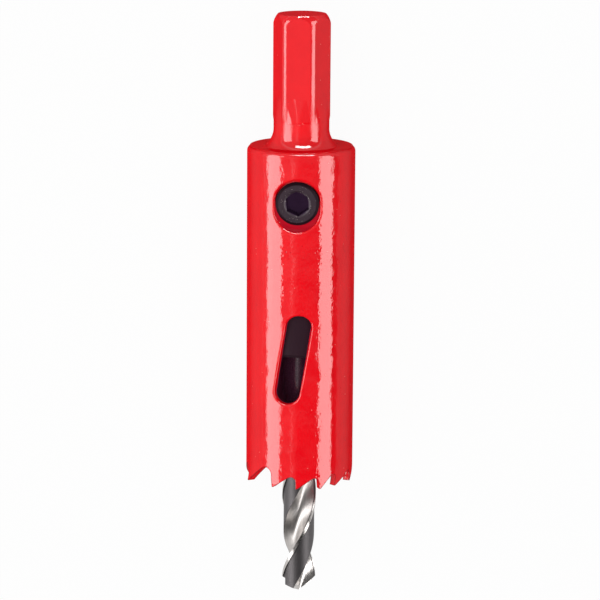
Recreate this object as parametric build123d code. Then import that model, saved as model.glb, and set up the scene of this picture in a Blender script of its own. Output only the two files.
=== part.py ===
from build123d import *
from math import asin, atan2, cos, degrees, hypot, pi, radians, sin, tan
import os

# A 20 mm bi-metal hole saw on its own arbor, with a pilot drill held by a set screw.
# The parts are drawn upright: the tool's axis is Z, the shoulder that closes the tube is at
# Z = 0, the shank stands above it and the teeth and the drill point are below. Angles round the
# axis are measured from the front (-Y), where the set screw is, towards +X. At the end every
# part is laid down by one placement, as the tool comes to rest on a bench.

# Tube
TUBE_DIA = 20.0
TUBE_WALL = 1.25
TUBE_LENGTH = 63.1  # shoulder to tooth tips
SHOULDER_ROUND = 1.0  # outer edge of the closed end
MOUTH_BAND = 5.0  # height of the toothed band, made tooth by tooth

# Teeth: one row per tooth, going round from FIRST_TIP. The pitch leads to the next tooth.
# (pitch in degrees, gullet depth, gullet root radius, set: 1 outwards, -1 inwards, 0 straight)
FIRST_TIP = -70.0
TOOTH_SET = 0.3
TIP_LAND = 0.28
TEETH = (
    (38.3, 3.65, 1.3, 1),
    (27.7, 2.27, 0.9, -1),
    (25.4, 2.0, 0.9, 0),
    (21.0, 2.36, 0.6, 1),
    (27.1, 2.2, 0.9, -1),
    (38.3, 3.65, 1.3, 0),
    (27.7, 2.27, 0.9, 1),
    (25.4, 2.0, 0.9, -1),
    (21.0, 2.36, 0.6, 0),
    (27.1, 2.2, 0.9, -1),
    (24.0, 2.1, 0.8, 0),
    (26.0, 2.2, 0.9, 1),
    (31.0, 3.0, 1.2, -1),
)

# Chip slots through the wall, punched square to the strip before it is rolled
SLOT_WIDTH = 5.0
SLOT_LENGTH = 17.0  # end to end
SLOT_DROP = 38.56  # shoulder to middle of the slot
SLOT_ANGLE = -7.85  # middle of the front slot
SLOT_TWIST = 12.5  # how much further round the upper end is than the lower
SLOT_COUNT = 2
SLOT_EDGE = 0.3  # rounded outer edge

# Arbor
HEX_AF = 9.525  # 3/8 in across flats
HEX_CORNER_DIA = 10.56  # corners turned down
HEX_TURN = -7.5  # one flat's normal, from the front
SHANK_LENGTH = 24.3
SHANK_END_DIA = 8.9
SHANK_END_ROUND = 1.7
SHANK_END_BELLY = (0.24, 0.935)  # a point of that rounding: in from the corners, below the end
HEX_FOOT = 5.0  # where the flats run out, above the shoulder
NECK_DIA = 10.3
NECK_SWELL = 0.9  # height over which the neck widens to the corners
FLARE_DIA = 13.5
FLARE_HEIGHT = 2.9
FLARE_BELLY = (5.62, 1.3)  # a point of the flare's concave profile: radius, height
PLUG_LENGTH = 38.4
PLUG_CHAMFER = 0.6
PLUG_FIT = 0.0  # radial gap of the brazed plug in the tube

# Set screw, M8 with a 4 mm hexagonal socket
SCREW_DIA = 8.0
SCREW_DROP = 9.4  # shoulder to screw axis
SCREW_ANGLE = -4.2
SCREW_RECESS = 0.55  # its face below the tube's outside
SCREW_CHAMFER = 0.5
SCREW_TIP_DIA = 5.0
SCREW_TIP_CONE = 1.2
SOCKET_AF = 4.0
SOCKET_DEPTH = 3.0
SOCKET_MOUTH_DIA = 4.95
SOCKET_MOUTH_CONE = 0.6  # how far the mouth's cone runs in, towards the axis
SOCKET_MOUTH_SLOPE = 31.0
SOCKET_POINT = 0.8  # depth of the drilled point below the socket
SOCKET_TURN = 36.0  # one corner, from the line to the right of its middle
THREAD_FIT = 0.0  # radial gap between screw and tapped hole
HOLE_WIDTH = 8.2  # clearance hole in the tube's wall, longer along the tube
HOLE_LENGTH = 9.6
HOLE_SHIFT = 0.42  # its middle below the screw's axis
HOLE_EDGE = 0.35  # its rounded outer edge

# Pilot drill, 1/4 in
DRILL_DIA = 6.35
DRILL_SEAT = 5.6  # shoulder to the drill's upper end, deep in the arbor
DRILL_OUT = 22.5  # how far its point stands out beyond the teeth
BORE_FIT = 0.015  # radial gap in the arbor's bore
POINT_ANGLE = 135.0
LIP_RELIEF = 12.0
FLUTE_LEAD = 34.5
FLUTE_TOP = 28.0  # run-out of the flutes, above the drill's corners
FLUTE_RUNOUT = 6.0
RUNOUT_CORE = 0.3  # radius at which the run-out starts
FLUTE_FLOOR = ((2.0, 5.0), (1.25, 16.0), (0.78, 42.0))  # radius, degrees past the heel
FLUTE_FACE = (0.98, 1.6, 2.4)  # radii of the points that keep the ground lip straight
WEB_RADIUS = 0.62
BODY_SHARE = 0.915  # body clearance diameter over full diameter
MARGIN_WIDTH = 0.62
MARGIN_STEP = 1.5  # degrees over which the margin drops to the body
HEEL_ANGLE = 72.0
DRILL_END_CHAMFER = 0.4
DRILL_FLAT = 0.3  # flat that the screw presses on
DRILL_FLAT_LENGTH = 9.0
GASH_DEPTH = 0.38
GASH_SLOPE = 38.0
GASH_ANGLE = -62.0  # its direction, from the drill's corner
GASH_STEP = 0.06  # how far it starts from the axis

CUT_CLEAR = 1.5  # how far a cutter passes what it cuts

R = TUBE_DIA / 2
RI = R - TUBE_WALL
DRILL_R = DRILL_DIA / 2
DRILL_TIP_Z = -TUBE_LENGTH - DRILL_OUT
DRILL_TOP_Z = -DRILL_SEAT


def front(angle):
    """Plane on the tool's axis that faces out at an angle from the front."""
    a = radians(angle)
    return Plane(origin=(0, 0, 0), x_dir=(cos(a), sin(a), 0), z_dir=(sin(a), -cos(a), 0))


def slot_outline(distance):
    """Outline of a slot where it crosses a plane at a distance from the axis."""
    half = SLOT_LENGTH / 2 - SLOT_WIDTH / 2
    w = SLOT_WIDTH / 2
    lean = atan2(radians(SLOT_TWIST) * R, 2 * half)

    def at(along, across):
        s = along * sin(lean) + across * cos(lean)
        v = along * cos(lean) - across * sin(lean)
        return (distance * tan(s / R), v)

    up, down = half, -half
    return make_face(
        [
            Line(at(down, -w), at(up, -w)),
            ThreePointArc(at(up, -w), at(up + w, 0), at(up, w)),
            Line(at(up, w), at(down, w)),
            ThreePointArc(at(down, w), at(down - w, 0), at(down, -w)),
        ]
    )


def gullet_outline(distance, pitch, depth, root):
    """Outline of the gap between two teeth, on a plane at a distance from the axis."""
    length = radians(pitch) * R
    x, y = length - root - TIP_LAND, depth - root
    slope = atan2(y, x) + asin(root / hypot(x, y))
    cx, cy = length - root, depth - root
    below = -CUT_CLEAR

    def at(u, v):
        return (distance * tan((u - length / 2) / R), v)

    touch = (cx - root * sin(slope), cy + root * cos(slope))
    turn = pi / 2 + slope
    halfway = (cx + root * cos(turn / 2), cy + root * sin(turn / 2))
    return make_face(
        [
            Line(at(TIP_LAND, below), at(TIP_LAND, 0)),
            Line(at(TIP_LAND, 0), at(*touch)),
            ThreePointArc(at(*touch), at(*halfway), at(length, cy)),
            Line(at(length, cy), at(length, below)),
            Line(at(length, below), at(TIP_LAND, below)),
        ]
    )


def wedge(outline, angle, height):
    """Radial cutter through the tube's wall: an outline that opens away from the axis."""
    plane = front(angle)
    sections = [
        plane.offset(distance) * Pos(0, height, 0) * outline(distance)
        for distance in (RI - CUT_CLEAR, R + CUT_CLEAR)
    ]
    return loft(sections, ruled=True)


def tooth_blank(start, end, bend, lean):
    """Sector of the toothed band whose lower part is bent in or out by lean."""
    top, tip = -TUBE_LENGTH + MOUTH_BAND, -TUBE_LENGTH
    knee = tip + bend
    if lean == 0:
        outer = [Line((R, top), (R, tip))]
        inner = [Line((RI, tip), (RI, top))]
    else:
        s = abs(lean)
        sign = 1 if lean > 0 else -1
        rho = (bend * bend + s * s) / (2 * s)
        swing = asin(bend / rho)
        mx, mz = sign * rho * (1 - cos(swing / 2)), -rho * sin(swing / 2)
        outer = [
            Line((R, top), (R, knee)),
            ThreePointArc((R, knee), (R + mx, knee + mz), (R + lean, tip)),
        ]
        inner = [
            ThreePointArc((RI + lean, tip), (RI + mx, knee + mz), (RI, knee)),
            Line((RI, knee), (RI, top)),
        ]
    section = make_face(
        [Line((RI, top), (R, top)), *outer, Line((R + lean, tip), (RI + lean, tip)), *inner]
    )
    blank = revolve(Plane.XZ * section, Axis.Z, end - start)
    return Rot(0, 0, start - 90) * blank


def on_outer_wall(edge):
    """Whether an edge runs on the tube's outside, between the shoulder and the teeth."""
    near = 0.001
    points = [edge.position_at(share) for share in (0, 0.25, 0.5, 0.75, 1)]
    lowest, highest = -TUBE_LENGTH + MOUTH_BAND + near, -SHOULDER_ROUND - near
    return all(abs(hypot(p.X, p.Y) - R) < near and lowest < p.Z < highest for p in points)


def make_saw_tube():
    band_top = -TUBE_LENGTH + MOUTH_BAND
    s = SHOULDER_ROUND
    profile = make_face(
        [
            Line((RI, 0), (R - s, 0)),
            ThreePointArc(
                (R - s, 0), (R - s + s * sin(pi / 4), -s + s * cos(pi / 4)), (R, -s)
            ),
            Line((R, -s), (R, band_top)),
            Line((R, band_top), (RI, band_top)),
            Line((RI, band_top), (RI, 0)),
        ]
    )
    tube = revolve(Plane.XZ * profile, Axis.Z)

    tips, angle = [], FIRST_TIP
    for row in TEETH:
        tips.append(angle)
        angle += row[0]
    gullets = [
        wedge(
            lambda distance: gullet_outline(distance, pitch, depth, root),
            tip + pitch / 2,
            -TUBE_LENGTH,
        )
        for tip, (pitch, depth, root, _) in zip(tips, TEETH)
    ]
    for i, (pitch, depth, root, lean) in enumerate(TEETH):
        # a tooth runs from the deepest point of one gullet to that of the next
        depth_before, root_before = TEETH[i - 1][1:3]
        start = tips[i] - degrees(root_before / R)
        end = tips[i] + pitch - degrees(root / R)
        blank = tooth_blank(start, end, min(depth, depth_before), lean * TOOTH_SET)
        tube = tube + (blank - [gullets[i - 1], gullets[i]])

    slots = [
        wedge(slot_outline, SLOT_ANGLE + k * 360 / SLOT_COUNT, -SLOT_DROP)
        for k in range(SLOT_COUNT)
    ]
    tube = tube - slots
    outline = SlotOverall(HOLE_LENGTH, HOLE_WIDTH, rotation=90)
    middle = Pos(0, -SCREW_DROP - HOLE_SHIFT, 0)
    tube = tube - front(SCREW_ANGLE) * middle * extrude(outline, R + CUT_CLEAR)

    # the cut edges on the outside are rounded, as enamel leaves them
    rims = [edge for edge in tube.edges() if on_outer_wall(edge)]
    tube = tube.fillet(HOLE_EDGE, [e for e in rims if e.center().Z > -SLOT_DROP / 2])
    rims = [edge for edge in tube.edges() if on_outer_wall(edge)]
    return tube.fillet(SLOT_EDGE, [e for e in rims if e.center().Z < -SLOT_DROP / 2])


def make_arbor():
    n = NECK_DIA / 2
    plug_r = RI - PLUG_FIT
    end_r, corner_r = SHANK_END_DIA / 2, HEX_CORNER_DIA / 2
    belly_in, belly_down = SHANK_END_BELLY
    swell_foot = HEX_FOOT - NECK_SWELL / 3
    swell_top = swell_foot + NECK_SWELL
    c = PLUG_CHAMFER
    low = make_face(
        [
            Line((0, HEX_FOOT), (n, HEX_FOOT)),
            Line((n, HEX_FOOT), (n, FLARE_HEIGHT)),
            ThreePointArc((n, FLARE_HEIGHT), FLARE_BELLY, (FLARE_DIA / 2, 0)),
            Line((FLARE_DIA / 2, 0), (plug_r, 0)),
            Line((plug_r, 0), (plug_r, -PLUG_LENGTH + c)),
            Line((plug_r, -PLUG_LENGTH + c), (plug_r - c, -PLUG_LENGTH)),
            Line((plug_r - c, -PLUG_LENGTH), (0, -PLUG_LENGTH)),
            Line((0, -PLUG_LENGTH), (0, HEX_FOOT)),
        ]
    )
    turned = make_face(
        [
            Line((0, 0), (n, 0)),
            Line((n, 0), (n, swell_foot)),
            RadiusArc((n, swell_foot), (corner_r, swell_top), -NECK_DIA),
            Line((corner_r, swell_top), (corner_r, SHANK_LENGTH - SHANK_END_ROUND)),
            ThreePointArc(
                (corner_r, SHANK_LENGTH - SHANK_END_ROUND),
                (corner_r - belly_in, SHANK_LENGTH - belly_down),
                (end_r, SHANK_LENGTH),
            ),
            Line((end_r, SHANK_LENGTH), (0, SHANK_LENGTH)),
            Line((0, SHANK_LENGTH), (0, 0)),
        ]
    )
    hexagon = RegularPolygon(HEX_AF / 2, 6, major_radius=False)
    # flats run from the end down to the neck; below HEX_FOOT the shank is round
    prism = Rot(0, 0, HEX_TURN) * Pos(0, 0, swell_foot) * extrude(hexagon, SHANK_LENGTH)
    shank = revolve(Plane.XZ * turned, Axis.Z) & prism
    arbor = revolve(Plane.XZ * low, Axis.Z) + shank
    bore_r = DRILL_R + BORE_FIT
    bore = Pos(0, 0, DRILL_TOP_Z) * Cylinder(
        bore_r, PLUG_LENGTH + CUT_CLEAR, align=(Align.CENTER, Align.CENTER, Align.MAX)
    )
    tapped = front(SCREW_ANGLE) * Pos(0, -SCREW_DROP, 0) * Cylinder(
        SCREW_DIA / 2 + THREAD_FIT, R, align=(Align.CENTER, Align.CENTER, Align.MIN)
    )
    return arbor - [bore, tapped]


def make_set_screw():
    tip_z, face_z = DRILL_R - DRILL_FLAT, R - SCREW_RECESS
    r, c = SCREW_DIA / 2, SCREW_CHAMFER
    t = SCREW_TIP_DIA / 2
    body = make_face(
        Polyline(
            (0, tip_z),
            (t, tip_z),
            (r, tip_z + SCREW_TIP_CONE),
            (r, face_z - c),
            (r - c, face_z),
            (0, face_z),
            close=True,
        ).edges()
    )
    screw = revolve(Plane.XZ * body, Axis.Z)
    hexagon = RegularPolygon(SOCKET_AF / 2, 6, major_radius=False, rotation=SOCKET_TURN)
    socket = Pos(0, 0, face_z) * extrude(hexagon, -SOCKET_DEPTH)
    mouth, run_in = SOCKET_MOUTH_DIA / 2, SOCKET_MOUTH_CONE
    sink = Pos(0, 0, face_z) * Cone(
        mouth - run_in,
        mouth,
        run_in * tan(radians(SOCKET_MOUTH_SLOPE)),
        align=(Align.CENTER, Align.CENTER, Align.MAX),
    )
    blunt = 0.05
    drill_point = Pos(0, 0, face_z - SOCKET_DEPTH) * Cone(
        blunt,
        SOCKET_AF / 2 - blunt,
        SOCKET_POINT,
        align=(Align.CENTER, Align.CENTER, Align.MAX),
    )
    screw = screw - [socket, sink, drill_point]
    return front(SCREW_ANGLE) * Pos(0, -SCREW_DROP, 0) * screw


def drill_section():
    """Cross-section of the fluted part, level with the drill's corners."""
    turn = 360 / FLUTE_LEAD
    fall = 1 / tan(radians(POINT_ANGLE / 2))
    body = DRILL_R * BODY_SHARE

    def polar(r, angle):
        return (r * cos(radians(angle)), r * sin(radians(angle)))

    def lip(r):
        """Angle of the flute's face at a radius, such that the ground lip is straight."""
        return -degrees(asin(WEB_RADIUS / r)) + turn * fall * (DRILL_R - r)

    edges = []
    for k in (0, 180):
        corner = lip(DRILL_R) + k
        step = corner + degrees(MARGIN_WIDTH / DRILL_R)
        heel = HEEL_ANGLE + k
        edges.append(
            ThreePointArc(
                polar(DRILL_R, corner),
                polar(DRILL_R, (corner + step) / 2),
                polar(DRILL_R, step),
            )
        )
        land = step + MARGIN_STEP
        edges.append(Line(polar(DRILL_R, step), polar(body, land)))
        edges.append(
            ThreePointArc(
                polar(body, land), polar(body, (step + heel) / 2), polar(body, heel)
            )
        )
        edges.append(
            Spline(
                polar(body, heel),
                *(polar(r, heel + past) for r, past in FLUTE_FLOOR),
                *(polar(r, lip(r) + 180 + k) for r in (*FLUTE_FACE, DRILL_R)),
            )
        )
    return make_face(edges)


def make_pilot_drill():
    fall = 1 / tan(radians(POINT_ANGLE / 2))
    relief = tan(radians(LIP_RELIEF))
    tip = -DRILL_R * fall + relief * WEB_RADIUS  # the chisel edge, below the corners
    corner_z = DRILL_TIP_Z - tip
    below = 2.0
    length = FLUTE_TOP + below
    start = -below * 360 / FLUTE_LEAD
    section = Rot(0, 0, start) * drill_section()
    fluted = Pos(0, 0, -below) * Solid.extrude_linear_with_rotation(
        section.face(), (0, 0, 0), (0, 0, length), length * 360 / FLUTE_LEAD
    )

    # the flutes run out along the arc of the wheel that ground them
    core = RUNOUT_CORE
    rise, width = DRILL_R - core, FLUTE_RUNOUT
    wheel = (rise * rise + width * width) / (2 * rise)
    swing = asin(width / wheel)
    foot = FLUTE_TOP - width
    runout = make_face(
        [
            Line((0, foot), (core, foot)),
            ThreePointArc(
                (core, foot),
                (core + wheel * (1 - cos(swing / 2)), foot + wheel * sin(swing / 2)),
                (DRILL_R, FLUTE_TOP),
            ),
            Line((DRILL_R, FLUTE_TOP), (0, FLUTE_TOP)),
            Line((0, FLUTE_TOP), (0, foot)),
        ]
    )
    body = fluted + revolve(Plane.XZ * runout, Axis.Z)

    # two flanks that meet in the chisel edge
    reach = 2 * DRILL_DIA
    for k in (0, 180):
        x_dir = Vector(1, 0, fall).normalized()
        y_dir = Vector(0, 1, relief)
        normal = x_dir.cross(y_dir).normalized()
        at = Vector(DRILL_R, -WEB_RADIUS, 0)
        plane = Plane(origin=at, x_dir=x_dir, z_dir=normal)
        below_flank = plane * Box(
            2 * reach, 2 * reach, reach, align=(Align.CENTER, Align.CENTER, Align.MAX)
        )
        body = body - Rot(0, 0, k) * below_flank

    # the split: a gash behind each half of the chisel edge
    wide = DRILL_R + CUT_CLEAR
    floor = make_face(
        Polyline(
            (0, tip + GASH_DEPTH),
            (wide, tip + GASH_DEPTH + wide * tan(radians(GASH_SLOPE))),
            (wide, -wide),
            (0, -wide),
            close=True,
        ).edges()
    )
    along = Vector(cos(radians(GASH_ANGLE)), sin(radians(GASH_ANGLE)), 0)
    side = along.cross(Vector(0, 0, 1))
    plane = Plane(origin=along * GASH_STEP, x_dir=side, z_dir=side.cross(Vector(0, 0, 1)))
    gash = extrude(plane * floor, wide)
    for k in (0, 180):
        body = body - Rot(0, 0, k) * gash

    body = Pos(0, 0, corner_z) * body
    top = corner_z + FLUTE_TOP
    c = DRILL_END_CHAMFER
    shank = make_face(
        Polyline(
            (0, top),
            (DRILL_R, top),
            (DRILL_R, DRILL_TOP_Z - c),
            (DRILL_R - c, DRILL_TOP_Z),
            (0, DRILL_TOP_Z),
            close=True,
        ).edges()
    )
    drill = body + revolve(Plane.XZ * shank, Axis.Z)
    flat = front(SCREW_ANGLE) * Pos(0, -SCREW_DROP, DRILL_R - DRILL_FLAT) * Box(
        DRILL_DIA, DRILL_FLAT_LENGTH, DRILL_R, align=(Align.CENTER, Align.CENTER, Align.MIN)
    )
    return drill - flat


# Lying on the bench: the shank points along +X and the screw and slot face up.
MIDDLE = (SHANK_LENGTH + DRILL_TIP_Z) / 2
LYING = Plane(origin=(-MIDDLE, 0, R), x_dir=(0, -1, 0), z_dir=(1, 0, 0))

os.makedirs("parts", exist_ok=True)
for name, maker in (
    ("saw_tube", make_saw_tube),
    ("arbor", make_arbor),
    ("set_screw", make_set_screw),
    ("pilot_drill", make_pilot_drill),
):
    export_step(LYING * maker(), f"parts/{name}.step")
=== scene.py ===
"""Looks of a slim hole saw that lies on a bench: thick red enamel, black oxide and ground steel.

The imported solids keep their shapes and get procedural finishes. What the solids leave out, such as
the enamel that pooled in the screw hole, is made here as separate pieces. Lengths are in metres in
the row frame: the tool lies along X, its shank points along +X, and its axis is one tube radius up.
"""

import logging
import math
from dataclasses import dataclass
from enum import Enum
from typing import Callable, Optional, Union

import bmesh
import bpy
from mathutils import Matrix, Vector

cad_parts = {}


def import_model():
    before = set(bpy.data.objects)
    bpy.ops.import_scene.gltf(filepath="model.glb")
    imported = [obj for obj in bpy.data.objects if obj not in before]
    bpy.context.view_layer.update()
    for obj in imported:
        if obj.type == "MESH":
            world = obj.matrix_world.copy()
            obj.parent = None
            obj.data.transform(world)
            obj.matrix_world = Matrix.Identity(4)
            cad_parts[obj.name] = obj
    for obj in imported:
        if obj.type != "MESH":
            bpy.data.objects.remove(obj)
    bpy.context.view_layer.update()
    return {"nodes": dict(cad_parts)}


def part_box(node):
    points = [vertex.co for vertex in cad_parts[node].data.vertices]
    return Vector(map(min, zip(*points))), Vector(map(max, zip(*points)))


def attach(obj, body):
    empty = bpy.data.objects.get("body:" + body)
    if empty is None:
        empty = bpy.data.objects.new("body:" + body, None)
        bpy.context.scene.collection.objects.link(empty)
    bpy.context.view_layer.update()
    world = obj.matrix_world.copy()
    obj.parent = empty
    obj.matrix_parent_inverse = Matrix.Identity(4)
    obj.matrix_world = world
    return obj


MM = 0.001
LOG = logging.getLogger("hole_saw")

Number = Union[int, float]
Colour = tuple[float, float, float]


@dataclass(frozen=True)
class ToolSizes:
    """The tool's own sizes, in millimetres and radians, with places along it from its middle."""

    tube_radius: float = 10.0
    wall: float = 1.25
    mouth: float = -32.45
    shoulder: float = 30.65
    shank_end: float = 54.95
    flats_foot: float = 36.0
    flare_radius: float = 6.75
    neck_radius: float = 5.15
    corner_radius: float = 5.28
    flat_radius: float = 4.7625
    flat_turn: float = math.radians(7.5)
    screw_along: float = 21.25
    screw_lean: float = math.radians(-4.2)
    screw_radius: float = 4.0
    screw_face: float = 9.45
    hole_radius: float = 4.1
    hole_down: float = 1.12
    point_end: float = -54.95
    drill_radius: float = 3.175
    drill_body_share: float = 0.915
    flute_lead: float = 34.5


TOOL = ToolSizes()


class Rays(Enum):
    """The rays of a Light Path node that see a bright background."""

    CAMERA = "Is Camera Ray"
    GLOSSY = "Is Glossy Ray"
    TRANSMISSION = "Is Transmission Ray"


class Value:
    """A number that varies over a surface. Python's operators add Math nodes."""

    def __init__(self, tree: "Tree", socket: bpy.types.NodeSocket) -> None:
        """Wraps an output socket of a tree."""
        self.tree = tree
        self.socket = socket

    def maths(self, operation: str, first: object, second: object = None) -> "Value":
        """Adds one Math node.

        Args:
            operation: The Math node's operation.
            first: Its first input, a number or a Value.
            second: Its second input, where it has one.

        Returns:
            The node's result.
        """
        inputs = {0: first} if second is None else {0: first, 1: second}
        node = self.tree.node("ShaderNodeMath", {"operation": operation}, inputs)
        return Value(self.tree, node.outputs[0])

    def __add__(self, other: object) -> "Value":
        """Sum."""
        return self.maths("ADD", self, other)

    __radd__ = __add__

    def __sub__(self, other: object) -> "Value":
        """Difference."""
        return self.maths("SUBTRACT", self, other)

    def __rsub__(self, other: object) -> "Value":
        """Difference from a number."""
        return self.maths("SUBTRACT", other, self)

    def __mul__(self, other: object) -> "Value":
        """Product."""
        return self.maths("MULTIPLY", self, other)

    __rmul__ = __mul__

    def angle_with(self, other: "Value") -> "Value":
        """Angle in radians of the point (other, self) round the origin."""
        return self.maths("ARCTAN2", self, other)

    def root(self) -> "Value":
        """Square root."""
        return self.maths("SQRT", self)

    def most(self, other: object) -> "Value":
        """The larger of two."""
        return self.maths("MAXIMUM", self, other)

    def ramp(self, low: Number, high: Number, bottom: Number = 0.0, top: Number = 1.0) -> "Value":
        """A smooth step.

        Args:
            low: Where the step starts.
            high: Where it ends. It may lie below low, for a step down.
            bottom: The result before the start.
            top: The result after the end.

        Returns:
            The stepped value.
        """
        node = self.tree.node(
            "ShaderNodeMapRange",
            {"interpolation_type": "SMOOTHSTEP"},
            {"Value": self, "From Min": low, "From Max": high, "To Min": bottom, "To Max": top},
        )
        return Value(self.tree, node.outputs["Result"])


class Tree:
    """A node tree under construction, with one method for every kind of node."""

    def __init__(self, tree: bpy.types.NodeTree) -> None:
        """Empties the tree."""
        self.tree = tree
        tree.nodes.clear()

    def node(
        self,
        kind: str,
        settings: Optional[dict[str, object]] = None,
        inputs: Optional[dict[Union[str, int], object]] = None,
    ) -> bpy.types.Node:
        """Adds a node.

        Args:
            kind: The node's type.
            settings: Its properties, set before anything is linked.
            inputs: The values or links of its sockets, by name or number.

        Returns:
            The node.
        """
        node = self.tree.nodes.new(kind)
        for name, value in (settings or {}).items():
            setattr(node, name, value)
        for name, value in (inputs or {}).items():
            socket = node.inputs[name]
            if isinstance(value, Value):
                value = value.socket
            if isinstance(value, bpy.types.NodeSocket):
                self.tree.links.new(value, socket)
            elif socket.type == "RGBA" and len(value) == 3:
                socket.default_value = (*value, 1.0)
            else:
                socket.default_value = value
        return node

    def mix(self, share: object, under: object, over: object) -> bpy.types.NodeSocket:
        """Lays one colour over another.

        Args:
            share: How much of the upper colour shows, from 0 to 1.
            under: The lower colour.
            over: The upper colour.

        Returns:
            The colour.
        """
        inputs = {"Factor": share, 6: under, 7: over}
        return self.node("ShaderNodeMix", {"data_type": "RGBA"}, inputs).outputs[2]

    def vector(self, operation: str, first: object, second: object) -> bpy.types.NodeSocket:
        """Adds a Vector Math node and gives its vector."""
        node = self.node("ShaderNodeVectorMath", {"operation": operation}, {0: first, 1: second})
        return node.outputs[0]

    def noise(
        self, place: object, size: float, detail: float = 2.0, rough: float = 0.5, shift: float = 0.0
    ) -> Value:
        """Smooth noise.

        Args:
            place: The coordinates, in millimetres.
            size: The width of its lumps, in millimetres.
            detail: How many finer octaves it has.
            rough: How strong they are.
            shift: Moves the pattern, so that two are not alike.

        Returns:
            The noise, from 0 to 1.
        """
        moved = self.vector("ADD", place, (shift, shift, shift))
        node = self.node(
            "ShaderNodeTexNoise",
            None,
            {"Vector": moved, "Scale": 1.0 / size, "Detail": detail, "Roughness": rough},
        )
        return Value(self, node.outputs["Fac"])

    def cells(self, place: object, size: float, shift: float = 0.0) -> tuple[Value, Value]:
        """Scattered points.

        Args:
            place: The coordinates, in millimetres.
            size: The mean distance between the points.
            shift: Moves the pattern.

        Returns:
            The distance to the nearest point as a share of size, and a random number per point.
        """
        moved = self.vector("ADD", place, (shift, shift, shift))
        node = self.node("ShaderNodeTexVoronoi", None, {"Vector": moved, "Scale": 1.0 / size})
        pick = self.node("ShaderNodeSeparateColor", None, {0: node.outputs["Color"]})
        return Value(self, node.outputs["Distance"]), Value(self, pick.outputs[0])

    def rounded(
        self,
        radius: float,
        share: Optional[Value] = None,
        under: Optional[bpy.types.NodeSocket] = None,
    ) -> bpy.types.NodeSocket:
        """The surface's normal with its edges rounded.

        Args:
            radius: The edges' radius, in metres.
            share: Where the rounding holds, from 0 to 1, or None for everywhere.
            under: The normal elsewhere, or None for the surface's own.

        Returns:
            The normal.
        """
        soft = self.node("ShaderNodeBevel", {"samples": 6}, {"Radius": radius}).outputs[0]
        if share is None:
            return soft
        sharp = under or self.node("ShaderNodeNewGeometry").outputs["Normal"]
        both = self.node(
            "ShaderNodeMix", {"data_type": "VECTOR"}, {"Factor": share, 4: sharp, 5: soft}
        )
        return self.vector("NORMALIZE", both.outputs[1], (0.0, 0.0, 0.0))

    def edges(self, radius: float) -> Value:
        """Marks the sharp edges.

        Args:
            radius: How far from an edge the mark reaches, in metres.

        Returns:
            1 on an edge and 0 away from it.
        """
        own = self.node("ShaderNodeNewGeometry").outputs["Normal"]
        inputs = {0: own, 1: self.rounded(radius)}
        turned = self.node("ShaderNodeVectorMath", {"operation": "DOT_PRODUCT"}, inputs)
        return Value(self, turned.outputs["Value"]).ramp(0.985, 0.9)

    def grazing(self, low: float, high: float, top: float) -> Value:
        """Rises from 0 to top where the surface turns away from the eye, for gloss only."""
        facing = self.node("ShaderNodeLayerWeight", None, {"Blend": 0.5}).outputs["Facing"]
        return Value(self, facing).ramp(low, high, 0.0, top)

    def bump(
        self, height: Value, depth: float, under: Optional[bpy.types.NodeSocket] = None
    ) -> bpy.types.NodeSocket:
        """Relief on a surface.

        Args:
            height: The relief, from 0 to 1.
            depth: What 1 stands for, in metres.
            under: The normal that it is laid on, where that is not the surface's own.

        Returns:
            The normal.
        """
        inputs = {"Height": height, "Distance": depth, "Strength": 1.0}
        if under is not None:
            inputs["Normal"] = under
        return self.node("ShaderNodeBump", None, inputs).outputs[0]

    def blend(
        self, share: Value, under: bpy.types.Node, over: bpy.types.Node
    ) -> bpy.types.NodeSocket:
        """Mixes two shaders.

        Args:
            share: How much of the second shows, from 0 to 1.
            under: The first shader's node.
            over: The second shader's node.

        Returns:
            The mixed shader.
        """
        inputs = {0: share, 1: under.outputs[0], 2: over.outputs[0]}
        return self.node("ShaderNodeMixShader", None, inputs).outputs[0]


@dataclass
class ToolPlace:
    """Where a surface point lies on the tool, in millimetres and radians."""

    place: bpy.types.NodeSocket
    along: Value
    aside: Value
    up: Value
    radius: Value
    around: Value


def tool_place(tree: Tree, axis_height: float) -> ToolPlace:
    """Coordinates round the tool's axis.

    Args:
        tree: The material's tree.
        axis_height: How far the axis lies above the bench, in metres.

    Returns:
        The coordinates. along grows towards the shank, up away from the bench, and around is 0 at
        the top.
    """
    here = tree.node("ShaderNodeTexCoord").outputs["Object"]
    raised = tree.vector("SUBTRACT", here, (0.0, 0.0, axis_height))
    place = tree.vector("MULTIPLY", raised, (1 / MM, 1 / MM, 1 / MM))
    split = tree.node("ShaderNodeSeparateXYZ", None, {0: place})
    x, y, z = (Value(tree, split.outputs[k]) for k in range(3))
    return ToolPlace(place, x, y, z, (y * y + z * z).root(), y.angle_with(z))


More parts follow.
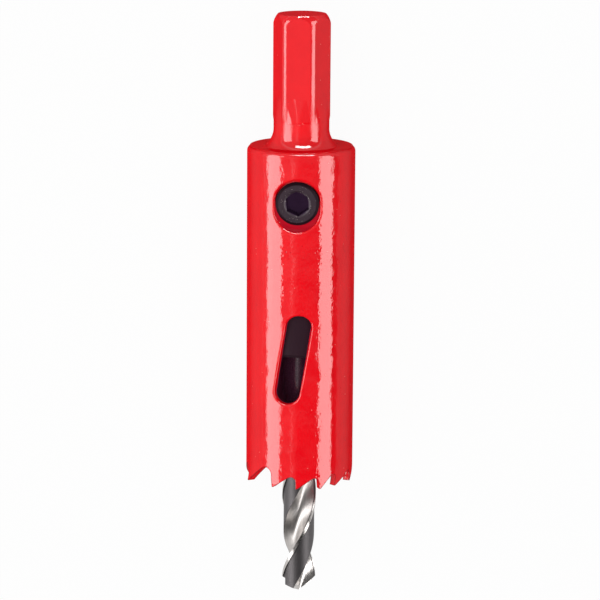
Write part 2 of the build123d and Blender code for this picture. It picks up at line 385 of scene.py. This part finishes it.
@dataclass(frozen=True)
class Enamel:
    """Thick gloss enamel with orange peel, dust specks and pits, over dark scaled steel.

    Widths and spacings are in millimetres. A share says how strongly a layer shows, and a height
    how much it adds to the relief, whose full depth is peel.
    """

    colour: Colour = (0.78, 0.0035, 0.009)
    deep: Colour = (0.5, 0.001, 0.007)
    # painted shade: the dark colour of the lines along the edges
    edge_shade: Colour = (0.2, 0.0, 0.004)
    dust: Colour = (0.95, 0.5, 0.42)
    bare: Colour = (0.03, 0.01, 0.019)
    edge_round: float = 0.24 * MM
    peel: float = 0.15 * MM
    roughness: float = 0.045
    shine: float = 0.9
    side_dulling: float = 0.72
    edge_dulling: float = 0.25
    bare_dulling: float = 0.85
    bare_roughness: float = 0.35
    dust_spacing: float = 1.1
    pit_spacing: float = 1.3
    wave_width: float = 3.6
    peel_width: float = 0.6
    cloud_width: float = 6.0
    cloud_share: float = 0.22
    pit_share: float = 0.8
    dust_share: float = 0.35
    wave_height: float = 0.85
    peel_height: float = 0.24
    pit_height: float = -0.06
    dust_height: float = 0.07

    def surface(
        self,
        tree: Tree,
        at: ToolPlace,
        bare_mask: Optional[Value] = None,
        rounded: Optional[bpy.types.NodeSocket] = None,
        thick: Optional[Value] = None,
    ) -> bpy.types.NodeSocket:
        """Builds the shader.

        Args:
            tree: The material's tree.
            at: The tool's coordinates.
            bare_mask: Where the enamel gives way to dark steel, or None.
            rounded: The normal with its edges rounded, or None for the finish's own rounding.
            thick: Where the edges are darkened with painted shade, or None.

        Returns:
            The shader's output.
        """
        speck, pick = tree.cells(at.place, self.dust_spacing, 3.0)
        dust = speck.ramp(0.1, 0.05) * pick.ramp(0.8, 0.81)
        pit, pit_pick = tree.cells(at.place, self.pit_spacing, 11.0)
        pits = pit.ramp(0.12, 0.05) * pit_pick.ramp(0.6, 0.61)
        waves = tree.noise(at.place, self.wave_width, 1.0, 0.5, 5.0)
        peel = tree.noise(at.place, self.peel_width, 1.5, 0.6)
        cloud = tree.noise(at.place, self.cloud_width, 3.0, 0.6, 20.0)

        colour = tree.mix(cloud.ramp(0.35, 0.75) * self.cloud_share, self.colour, self.deep)
        colour = tree.mix(pits * self.pit_share, colour, self.deep)
        colour = tree.mix(dust * self.dust_share, colour, self.dust)
        # painted shade: the edges get a darker colour
        if thick is not None:
            colour = tree.mix(thick, colour, self.edge_shade)
        height = waves * self.wave_height + peel * self.peel_height
        height = height + pits * self.pit_height + dust * self.dust_height
        normal = tree.bump(height, self.peel, rounded or tree.rounded(self.edge_round))
        roughness = peel.ramp(0.3, 0.7, self.roughness * 0.8, self.roughness * 1.25)
        matt = tree.grazing(0.2, 0.3, self.side_dulling)
        matt = matt + tree.grazing(0.4, 0.7, self.edge_dulling)
        if bare_mask is not None:
            colour = tree.mix(bare_mask, colour, self.bare)
            roughness = roughness + bare_mask * self.bare_roughness
            matt = matt.most(bare_mask * self.bare_dulling)

        gloss, dull = (
            tree.node(
                "ShaderNodeBsdfPrincipled",
                None,
                {
                    "Base Color": colour,
                    "Roughness": roughness,
                    "Specular IOR Level": level,
                    "Normal": normal,
                },
            )
            for level in (self.shine, 0.0)
        )
        return tree.blend(matt, gloss, dull)


@dataclass(frozen=True)
class BlackOxide:
    """Blackened steel with a fine grain and a few bright worn specks; its rim gets painted shade and
    its recess a flat painted shade tone.
    """

    colour: Colour = (0.026, 0.012, 0.02)
    worn: Colour = (0.34, 0.28, 0.27)
    # painted shade tone for the socket's recess
    painted_shade_tone: Colour = (0.04, 0.018, 0.045)
    roughness: float = 0.42
    grain_width: float = 0.22
    grain_depth: float = 0.02 * MM
    edge_round: float = 0.1 * MM
    patch_width: float = 1.4
    fleck_spacing: float = 0.2

    def surface(self, tree: Tree, at: ToolPlace, recess: Value, rim: Value) -> bpy.types.NodeSocket:
        """Builds the shader.

        Args:
            tree: The material's tree.
            at: The tool's coordinates.
            recess: Where the socket's recess is, which gets a flat painted shade tone without gloss.
            rim: Where the outer rim is, which is darkened with painted shade.

        Returns:
            The shader's output.
        """
        grain = tree.noise(at.place, self.grain_width, 4.0, 0.7)
        patch = tree.noise(at.place, self.patch_width, 2.0, 0.5, 7.0)
        fleck, pick = tree.cells(at.place, self.fleck_spacing, 2.0)
        worn = fleck.ramp(0.34, 0.2) * pick.ramp(0.7, 0.72) * patch.ramp(0.42, 0.58)
        worn = worn * (1 - recess) * (1 - rim)
        colour = tree.mix(worn, self.colour, self.worn)
        # painted shade tone in the socket's recess
        colour = tree.mix(recess, colour, self.painted_shade_tone)
        shine = tree.node(
            "ShaderNodeBsdfPrincipled",
            None,
            {
                "Base Color": colour,
                "Roughness": grain.ramp(0.3, 0.7, self.roughness - 0.1, self.roughness + 0.12),
                "Metallic": worn.ramp(0.0, 1.0, 0.25, 0.9),
                "Normal": tree.bump(grain, self.grain_depth, tree.rounded(self.edge_round)),
            },
        )
        # painted shade: the rim's colour is darkened towards black
        matt = tree.node(
            "ShaderNodeBsdfPrincipled",
            None,
            {"Base Color": tree.mix(rim * 0.6, colour, (0.0, 0.0, 0.0)), "Specular IOR Level": 0.0},
        )
        share = recess.most(rim * 0.8).most(tree.grazing(0.3, 0.6, 0.7))
        return tree.blend(share, shine, matt)


@dataclass(frozen=True)
class GroundSteel:
    """Bright high-speed steel, with the grinding wheel's lines along its helix; inside the tube it
    gets a dark purplish painted shade and reflection.
    """

    colour: Colour = (0.56, 0.53, 0.51)
    land: Colour = (0.105, 0.098, 0.1)
    # painted shade and reflection for the part inside the tube
    painted_shade_tone: Colour = (0.07, 0.018, 0.04)
    roughness: float = 0.38
    land_roughness: float = 0.5
    polish: float = 0.16
    lines_round: float = 9.0
    lines_out: float = 6.0
    line_share: float = 0.4
    grain_width: float = 0.16
    relief: float = 0.012 * MM
    point_fade: tuple[float, float] = (9.0, 6.5)
    painted_shade_fade: tuple[float, float] = (3.0, 10.0)
    painted_shade_share: float = 0.9

    def surface(self, tree: Tree, at: ToolPlace) -> bpy.types.NodeSocket:
        """Builds the shader from the tool's coordinates."""
        turn = at.around + at.along * (2 * math.pi / TOOL.flute_lead)
        helix = {0: turn * self.lines_round, 1: at.radius * self.lines_out}
        lines_at = tree.node("ShaderNodeCombineXYZ", None, helix)
        lines = tree.noise(lines_at.outputs[0], 1.0, 3.0, 0.7)
        grain = tree.noise(at.place, self.grain_width, 3.0, 0.7)
        body = TOOL.drill_radius * TOOL.drill_body_share
        outside = at.radius.ramp(body - 0.12, body - 0.02)
        land = outside * at.radius.ramp(body + 0.16, body + 0.06)
        colour = tree.mix(land, self.colour, self.land)
        colour = tree.mix(lines.ramp(0.35, 0.7) * self.line_share, colour, self.land)
        point = at.along.ramp(*(TOOL.point_end + reach for reach in self.point_fade))
        roughness = grain.ramp(0.3, 0.7, self.roughness - 0.05, self.roughness + 0.08)
        roughness = roughness + land * (self.land_roughness - self.roughness)
        roughness = roughness - point.most(outside) * (1 - land) * self.polish
        steel = tree.node(
            "ShaderNodeBsdfPrincipled",
            None,
            {
                "Base Color": colour,
                "Metallic": 1.0,
                "Roughness": roughness,
                "Normal": tree.bump(lines * 0.7 + grain * 0.3, self.relief),
            },
        )
        # painted shade and reflection: the part inside the tube gets a dark purplish, barely metallic
        # colour
        painted_shade_tone = tree.node(
            "ShaderNodeBsdfPrincipled",
            None,
            {"Base Color": self.painted_shade_tone, "Roughness": 0.12, "Specular IOR Level": 1.0, "Metallic": 0.1},
        )
        hidden = at.along.ramp(*(TOOL.mouth + reach for reach in self.painted_shade_fade))
        return tree.blend(hidden * self.painted_shade_share, steel, painted_shade_tone)


def new_material(name: str) -> tuple[bpy.types.Material, Tree]:
    """Makes an empty material.

    Args:
        name: Its name.

    Returns:
        The material and its node tree.
    """
    material = bpy.data.materials.new(name)
    material.use_nodes = True
    return material, Tree(material.node_tree)


def finish_with(tree: Tree, shader: bpy.types.NodeSocket) -> None:
    """Links a shader to the output of a material's tree."""
    tree.node("ShaderNodeOutputMaterial", None, {"Surface": shader})


def add_mesh(name: str, points: list[Vector], faces: list[tuple[int, ...]]) -> bpy.types.Object:
    """Makes a smooth-shaded piece.

    Args:
        name: Its name.
        points: Its corners, in metres in the row frame.
        faces: Its faces, as corner numbers.

    Returns:
        The new object.
    """
    mesh = bpy.data.meshes.new(name)
    mesh.from_pydata([tuple(point) for point in points], [], faces)
    work = bmesh.new()
    work.from_mesh(mesh)
    bmesh.ops.recalc_face_normals(work, faces=work.faces)
    for face in work.faces:
        face.smooth = True
    work.to_mesh(mesh)
    work.free()
    piece = bpy.data.objects.new(name, mesh)
    bpy.context.scene.collection.objects.link(piece)
    return piece


def closed_ring(
    name: str, profile: Callable[[float], list[tuple[float, float]]], turns: int, axis_height: float
) -> bpy.types.Object:
    """Makes a closed piece round the tool's axis.

    Args:
        name: Its name.
        profile: Gives its closed outline at an angle from the top towards +Y, as pairs of how far
            along the tool and how far from the axis, in millimetres.
        turns: How many outlines there are.
        axis_height: How far the axis lies above the bench, in metres.

    Returns:
        The new object.
    """
    centre = Vector((0.0, 0.0, axis_height))
    points, faces = [], []
    for t in range(turns):
        angle = 2 * math.pi * t / turns
        outline = profile(angle)
        count = len(outline)
        for along, radius in outline:
            across = Vector((along, radius * math.sin(angle), radius * math.cos(angle)))
            points.append(across * MM + centre)
        after = (t + 1) % turns
        for k in range(count):
            j = (k + 1) % count
            faces.append((t * count + k, after * count + k, after * count + j, t * count + j))
    return add_mesh(name, points, faces)


def dress(node: bpy.types.Object, material: bpy.types.Material) -> None:
    """Gives a piece or a CAD node's object one material."""
    node.data.materials.clear()
    node.data.materials.append(material)
    LOG.info("%s: %d faces, %s", node.name, len(node.data.polygons), material.name)


def dress_in_enamel(piece: bpy.types.Object, name: str, enamel: Enamel, axis_height: float) -> None:
    """Gives an added piece enamel that keeps the piece's own normals.

    Args:
        piece: The piece.
        name: The new material's name.
        enamel: The finish.
        axis_height: How far the tool's axis lies above the bench, in metres.
    """
    material, tree = new_material(name)
    own = tree.node("ShaderNodeNewGeometry").outputs["Normal"]
    finish_with(tree, enamel.surface(tree, tool_place(tree, axis_height), rounded=own))
    dress(piece, material)


@dataclass
class SawTube:
    """The red tube with its teeth, slots and screw hole."""

    node: bpy.types.Object
    axis_height: float
    overspray: tuple[float, float] = (3.0, 9.0)
    ragged: float = 3.0
    toothed: tuple[float, float] = (7.0, 5.0)
    edge_shade_reach: float = 0.34 * MM
    edge_shade_share: float = 0.85
    enamel: Enamel = Enamel(bare=(0.3, 0.078, 0.17))

    def dress(self) -> None:
        """Paints the outside, darkens the edges near the teeth with painted shade, and leaves the
        inside dark beyond the mouth's overspray.
        """
        material, tree = new_material("tube_enamel")
        at = tool_place(tree, self.axis_height)
        bore = TOOL.tube_radius - TOOL.wall
        inside = at.radius.ramp(bore + 0.25, bore + 0.05)
        edge = at.along + tree.noise(at.place, 2.0, 3.0, 0.6, 31.0) * self.ragged
        deep = edge.ramp(*(TOOL.mouth + reach for reach in self.overspray))
        seam = at.along.ramp(TOOL.shoulder - 0.4, TOOL.shoulder - 0.1)
        seam = seam * at.radius.ramp(bore + 0.4, bore + 0.2)
        rounded = tree.rounded(self.enamel.edge_round, 1 - seam)
        toothed = at.along.ramp(*(TOOL.mouth + reach for reach in self.toothed))
        # painted shade along the edges near the teeth
        thick = tree.edges(self.edge_shade_reach) * toothed * self.edge_shade_share
        finish_with(tree, self.enamel.surface(tree, at, inside * deep, rounded, thick))
        dress(self.node, material)


@dataclass
class Arbor:
    """The hexagonal shank with its flare, and the plug that closes the tube."""

    node: bpy.types.Object
    axis_height: float
    end_round: float = 0.12 * MM
    corner_round: float = 0.4 * MM
    foot_round: float = 1.5 * MM
    enamel: Enamel = Enamel(bare=(0.02, 0.006, 0.012), peel=0.025 * MM)

    def dress(self) -> None:
        """Paints the shank, the flare and what shows round the screw, and leaves the rest dark."""
        material, tree = new_material("shank_enamel")
        at = tool_place(tree, self.axis_height)
        dark = at.along.ramp(TOOL.screw_along - 7.0, TOOL.screw_along - 9.0)
        finish_with(tree, self.enamel.surface(tree, at, dark, self.flowed(tree, at)))
        dress(self.node, material)

    def flowed(self, tree: Tree, at: ToolPlace) -> bpy.types.NodeSocket:
        """Rounds the edges as thick enamel does: most at the foot of the flats."""
        inner = at.radius.ramp(TOOL.flare_radius + 1.4, TOOL.flare_radius + 0.6)
        end = tree.rounded(self.end_round, inner)
        below_end = at.along.ramp(TOOL.shank_end - 0.8, TOOL.shank_end - 1.6)
        sides = tree.rounded(self.corner_round, inner * below_end, end)
        near_foot = at.along.ramp(TOOL.flats_foot + 3.4, TOOL.flats_foot + 1.4)
        near_foot = near_foot * at.along.ramp(TOOL.flats_foot - 3.4, TOOL.flats_foot - 1.6)
        return tree.rounded(self.foot_round, inner * near_foot, sides)


@dataclass
class ShoulderEnamel:
    """The skin of enamel that bridges the seam between the tube and its plug."""

    axis_height: float
    inner: float = 7.4
    outer: float = 9.5
    skin: float = 0.04
    dip: float = 0.015
    under: float = 0.05
    turns: int = 180
    rings: int = 10
    enamel: Enamel = Enamel()

    def outline(self, angle: float) -> list[tuple[float, float]]:
        """The skin's outline, which is the same at every angle."""
        middle, half = (self.inner + self.outer) / 2, (self.outer - self.inner) / 2
        points = []
        for k in range(self.rings + 1):
            radius = self.inner + (self.outer - self.inner) * k / self.rings
            rise = self.skin * (1 - ((radius - middle) / half) ** 2) ** 2
            points.append((TOOL.shoulder + rise - self.dip, radius))
        points.append((TOOL.shoulder - self.under, self.outer))
        points.append((TOOL.shoulder - self.under, self.inner))
        return points

    def dress(self) -> bpy.types.Object:
        """Builds the skin and gives it the tube's enamel."""
        skin = closed_ring("shoulder_enamel", self.outline, self.turns, self.axis_height)
        dress_in_enamel(skin, "skin_enamel", self.enamel, self.axis_height)
        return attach(skin, "root")


@dataclass
class NeckEnamel:
    """The thick enamel that hides where the shank's flats run out into its round neck."""

    axis_height: float
    low: float = 4.2
    high: float = 9.6
    corner_ease: float = 1.03
    corner_power: float = 14.0
    swell: float = 1.012
    edge_run: float = 0.125
    skin: float = 0.09
    dip: float = 0.06
    depth: float = 0.5
    turns: int = 240
    rows: int = 28
    enamel: Enamel = Enamel(peel=0.025 * MM)

    def hexagon(self, angle: float) -> float:
        """The shank's radius at an angle."""
        sixth = math.pi / 3
        off = (angle - TOOL.flat_turn + sixth / 2) % sixth - sixth / 2
        sharp = TOOL.flat_radius / math.cos(off)
        turned = TOOL.corner_radius * self.corner_ease
        power = self.corner_power
        return (sharp**-power + turned**-power) ** (-1 / power) * self.swell

    def outline(self, angle: float) -> list[tuple[float, float]]:
        """The enamel's outline at an angle: round below, six-sided above."""
        points = []
        for k in range(self.rows + 1):
            share = k / self.rows
            flow = share * share * (3 - 2 * share)
            full = min(1.0, share / self.edge_run, (1 - share) / self.edge_run)
            round_neck = TOOL.neck_radius
            radius = round_neck + (self.hexagon(angle) - round_neck) * flow
            radius += self.skin * full - self.dip
            points.append((TOOL.shoulder + self.low + (self.high - self.low) * share, radius))
        top, bottom = points[-1], points[0]
        return points + [(top[0], top[1] - self.depth), (bottom[0], bottom[1] - self.depth)]

    def dress(self) -> bpy.types.Object:
        """Builds the enamel round the neck and gives it its finish."""
        neck = closed_ring("neck_enamel", self.outline, self.turns, self.axis_height)
        dress_in_enamel(neck, "flowed_enamel", self.enamel, self.axis_height)
        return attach(neck, "root")


@dataclass
class ScrewHoleEnamel:
    """The enamel that pooled between the set screw and the lower rim of its hole."""

    axis_height: float
    screw_edge: float = 8.95
    least_gap: float = 0.06
    tuck: float = 0.03
    edge_tuck: float = 0.02
    rim_drop: float = 0.3
    floor_drop: float = 0.6
    steepness: float = 2.6
    spread: float = math.radians(96)
    steps: int = 56
    strips: int = 10
    # darker red: painted shade on the pool, which lies in the hole's shadow
    enamel: Enamel = Enamel(
        colour=(0.38, 0.0, 0.01), peel=0.03 * MM, roughness=0.45, shine=0.05, side_dulling=0.9
    )

    def point(self, turn: float, share: float) -> tuple[float, float, float]:
        """A point of the pool's surface.

        Args:
            turn: The angle round the screw from its lowest point, in radians.
            share: 0 at the screw and 1 at the hole's wall.

        Returns:
            How far down the tube, how far aside, and how far from the tool's axis, in millimetres.
        """
        down, aside = math.cos(turn), math.sin(turn)
        reach = TOOL.hole_down * down
        wall = reach + math.sqrt(reach * reach - TOOL.hole_down**2 + TOOL.hole_radius**2)
        wall = max(wall, TOOL.screw_radius + self.least_gap)
        inner = TOOL.screw_radius - self.tuck
        radius = inner + (wall - inner) * share
        across = radius * aside
        rim = math.sqrt(TOOL.tube_radius**2 - across * across) - self.rim_drop
        edge = self.screw_edge - self.edge_tuck
        return (radius * down, across, edge + (rim - edge) * share**self.steepness)

    def build(self) -> bpy.types.Object:
        """Builds the pool as a closed crescent with a hollow face."""
        rows = []
        for k in range(self.steps + 1):
            turn = self.spread * (2 * k / self.steps - 1)
            top = [self.point(turn, i / self.strips) for i in range(self.strips + 1)]
            under = [(d, a, h - self.floor_drop) for d, a, h in (top[-1], top[0])]
            rows.append([self.in_row(*corner) for corner in top + under])
        count = len(rows[0])
        faces = [
            (k * count + i, (k + 1) * count + i, (k + 1) * count + j, k * count + j)
            for k in range(self.steps)
            for i, j in ((i, (i + 1) % count) for i in range(count))
        ]
        faces.append(tuple(range(count)))
        faces.append(tuple(self.steps * count + i for i in reversed(range(count))))
        return add_mesh("screw_hole_enamel", [p for row in rows for p in row], faces)

    def in_row(self, down: float, aside: float, height: float) -> Vector:
        """Turns a point beside the screw into the row frame."""
        out = Vector((0.0, -math.sin(TOOL.screw_lean), math.cos(TOOL.screw_lean)))
        side = Vector((0.0, -math.cos(TOOL.screw_lean), -math.sin(TOOL.screw_lean)))
        middle = Vector((TOOL.screw_along - down, 0.0, 0.0))
        return (middle + out * height + side * aside) * MM + Vector((0, 0, self.axis_height))

    def dress(self) -> bpy.types.Object:
        """Builds the pool and gives it a darker, duller red enamel, which is painted shade."""
        pool = self.build()
        dress_in_enamel(pool, "pooled_enamel_painted_shade", self.enamel, self.axis_height)
        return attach(pool, "root")


@dataclass
class SetScrew:
    """The socket set screw that holds the drill."""

    node: bpy.types.Object
    axis_height: float
    rim: float = 3.45
    socket: float = 2.62
    finish: BlackOxide = BlackOxide()

    def dress(self) -> None:
        """Blackens the screw, darkens its rim with painted shade, and gives the bottom of its socket
        a painted shade tone.
        """
        material, tree = new_material("screw_black")
        at = tool_place(tree, self.axis_height)
        lean_cos, lean_sin = math.cos(TOOL.screw_lean), math.sin(TOOL.screw_lean)
        side = at.aside * -lean_cos - at.up * lean_sin
        height = at.up * lean_cos - at.aside * lean_sin
        down = at.along - TOOL.screw_along
        off = (down * down + side * side).root()
        recess = off.ramp(self.socket + 0.04, self.socket - 0.04)
        recess = recess * height.ramp(TOOL.screw_face - 0.12, TOOL.screw_face - 0.3)
        # the rim, whose colour gets painted shade
        rim = off.ramp(self.rim - 0.12, self.rim + 0.12)
        finish_with(tree, self.finish.surface(tree, at, recess, rim))
        dress(self.node, material)


@dataclass
class PilotDrill:
    """The twist drill in the middle."""

    node: bpy.types.Object
    axis_height: float
    finish: GroundSteel = GroundSteel()

    def dress(self) -> None:
        """Grinds the drill bright."""
        material, tree = new_material("drill_steel")
        finish_with(tree, self.finish.surface(tree, tool_place(tree, self.axis_height)))
        dress(self.node, material)


class Lit(Enum):
    """What a lamp lights: only diffuse surfaces or only gloss."""

    DULL = "dull"
    GLOSS = "gloss"


@dataclass(frozen=True)
class Softbox:
    """A long lamp beside the tool, seen from its axis between two angles from straight up.

    The angles are in degrees, and a positive one is on the -Y side.
    """

    name: str
    low: float
    high: float
    radiance: float
    lit: Lit
    reach: float = 1.5
    length: float = 2.4

    def place(self, axis_height: float) -> None:
        """Hangs the lamp, facing the tool's axis at its height."""
        middle = math.radians((self.low + self.high) / 2)
        half = math.radians(abs(self.high - self.low) / 2)
        size = (self.length, 2 * self.reach * math.tan(half))
        holder = add_lamp(self.name, size, self.radiance, self.lit)
        towards = Vector((0.0, math.sin(middle), -math.cos(middle)))
        centre = Vector((0.0, 0.0, axis_height)) - towards * self.reach
        along = Vector((1.0, 0.0, 0.0))
        turn = Matrix((along, (-towards).cross(along), -towards)).transposed()
        holder.matrix_world = Matrix.Translation(centre) @ turn.to_4x4()


@dataclass(frozen=True)
class EndLamp:
    """A wide low lamp beyond the shank's end, which draws the lines on its roundings."""

    name: str = "lamp_end"
    rise: float = math.radians(16.0)
    aside: float = math.radians(-4.0)
    twist: float = math.radians(8.0)
    reach: float = 1.2
    size: tuple[float, float] = (0.7, 0.22)
    radiance: float = 18.0

    def place(self, axis_height: float) -> None:
        """Hangs the lamp, facing the tool."""
        holder = add_lamp(self.name, self.size, self.radiance, Lit.GLOSS)
        flat = math.cos(self.rise)
        back = Vector((flat * math.cos(self.aside), flat * math.sin(self.aside), math.sin(self.rise)))
        turn = back.to_track_quat("Z", "Y").to_matrix() @ Matrix.Rotation(self.twist, 3, "Z")
        centre = back * self.reach + Vector((0.0, 0.0, axis_height))
        holder.matrix_world = Matrix.Translation(centre) @ turn.to_4x4()


def add_lamp(name: str, size: tuple[float, float], radiance: float, lit: Lit) -> bpy.types.Object:
    """Makes a rectangular lamp.

    Args:
        name: Its name.
        size: Its sides, in metres.
        radiance: How bright it looks, where 1 is white.
        lit: What it lights.

    Returns:
        The lamp's object, at the origin.
    """
    lamp = bpy.data.lights.new(name, "AREA")
    lamp.shape = "RECTANGLE"
    lamp.size, lamp.size_y = size
    lamp.energy = radiance * math.pi * size[0] * size[1]
    holder = bpy.data.objects.new(name, lamp)
    holder.visible_diffuse = lit is not Lit.GLOSS
    holder.visible_glossy = lit is not Lit.DULL
    bpy.context.scene.collection.objects.link(holder)
    return holder


@dataclass
class Studio:
    """Floor, daylight-white surroundings, lamps and camera."""

    axis_height: float
    tilt: float = math.radians(12.3)
    roll: float = math.radians(0.37)
    aim: float = 1.38 * MM
    aside: float = 0.06 * MM
    distance: float = 560 * MM
    lens: float = 180.2
    sensor: float = 36.0
    near: float = 10 * MM
    floor_side: float = 8.0
    floor_level: float = 0.62
    floor_glow: float = 0.95
    ceiling: float = 0.19
    left_wall: float = 0.16
    far_left: float = 0.4
    lamps: tuple[Softbox, ...] = (
        Softbox("lamp_above", -66.0, 54.0, 1.75, Lit.DULL),
        Softbox("lamp_right", 41.5, 71.0, 4.0, Lit.GLOSS),
        Softbox("lamp_left", -75.5, -42.0, 4.0, Lit.GLOSS),
        Softbox("lamp_line", -19.4, -17.4, 0.9, Lit.GLOSS),
    )
    end_lamp: EndLamp = EndLamp()

    def build(self) -> None:
        """Makes everything round the tool."""
        self.lay_floor()
        self.paint_world()
        for lamp in (*self.lamps, self.end_lamp):
            lamp.place(self.axis_height)
        self.hang_camera()

    def lay_floor(self) -> None:
        """Lays the white floor, which keeps the tool's shadow."""
        half = self.floor_side / 2
        mesh = bpy.data.meshes.new("floor")
        corners = [(-half, -half, 0), (half, -half, 0), (half, half, 0), (-half, half, 0)]
        mesh.from_pydata(corners, [], [(0, 1, 2, 3)])
        floor = bpy.data.objects.new("floor", mesh)
        bpy.context.scene.collection.objects.link(floor)
        material, tree = new_material("floor_white")
        matt = tree.node("ShaderNodeBsdfDiffuse", None, {"Color": (self.floor_level,) * 3})
        glow = tree.node("ShaderNodeEmission", None, {"Color": (1.0, 1.0, 1.0), "Strength": 1.0})
        path = tree.node("ShaderNodeLightPath")
        seen = Value(tree, path.outputs[Rays.CAMERA.value])
        seen = seen.most(Value(tree, path.outputs[Rays.GLOSSY.value]))
        seen = seen.most(Value(tree, path.outputs[Rays.TRANSMISSION.value]))
        finish_with(tree, tree.blend(seen * self.floor_glow, matt, glow))
        mesh.materials.append(material)

    def paint_world(self) -> None:
        """Makes the room: white near the horizon, dark overhead, and paler beyond the shank."""
        world = bpy.data.worlds.new("room")
        bpy.context.scene.world = world
        world.use_nodes = True
        tree = Tree(world.node_tree)
        direction = tree.node("ShaderNodeTexCoord").outputs["Generated"]
        split = tree.node("ShaderNodeSeparateXYZ", None, {0: direction})
        back, left, height = (Value(tree, split.outputs[k]) for k in range(3))
        level = height.ramp(0.03, 0.1, 1.0, 0.0) + back.ramp(-0.32, -0.12) * self.ceiling
        level = level + left.ramp(0.08, 0.2) * self.left_wall
        level = level + left.ramp(0.86, 0.95) * self.far_left
        light = tree.node("ShaderNodeBackground", None, {"Color": (1, 1, 1), "Strength": level})
        tree.node("ShaderNodeOutputWorld", None, {"Surface": light.outputs[0]})

    def hang_camera(self) -> None:
        """Hangs the camera over the tool, tilted towards the shank."""
        back = Vector((math.sin(self.tilt), 0.0, math.cos(self.tilt)))
        up = Vector((math.cos(self.tilt), 0.0, -math.sin(self.tilt)))
        right = Vector((0.0, -1.0, 0.0))
        rolled_right = right * math.cos(self.roll) + up * math.sin(self.roll)
        rolled_up = up * math.cos(self.roll) - right * math.sin(self.roll)
        target = Vector((self.aim, 0.0, self.axis_height)) - right * self.aside
        data = bpy.data.cameras.new("camera")
        data.sensor_width = self.sensor
        data.lens = self.lens
        data.clip_start = self.near
        camera = bpy.data.objects.new("camera", data)
        bpy.context.scene.collection.objects.link(camera)
        turn = Matrix((rolled_right, rolled_up, back)).transposed()
        camera.matrix_world = Matrix.Translation(target + back * self.distance) @ turn.to_4x4()
        bpy.context.scene.camera = camera


def main() -> None:
    """Loads the frame, dresses each piece and sets the studio."""
    logging.basicConfig(level=logging.INFO, format="%(message)s")
    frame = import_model()
    low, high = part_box("saw_tube")
    axis_height = (low.z + high.z) / 2
    nodes = frame["nodes"]
    SawTube(nodes["saw_tube"], axis_height).dress()
    Arbor(nodes["arbor"], axis_height).dress()
    ShoulderEnamel(axis_height).dress()
    NeckEnamel(axis_height).dress()
    ScrewHoleEnamel(axis_height).dress()
    SetScrew(nodes["set_screw"], axis_height).dress()
    PilotDrill(nodes["pilot_drill"], axis_height).dress()
    Studio(axis_height).build()
    scene = bpy.context.scene
    scene.view_settings.view_transform = "Standard"


if __name__ == "__main__":
    main()
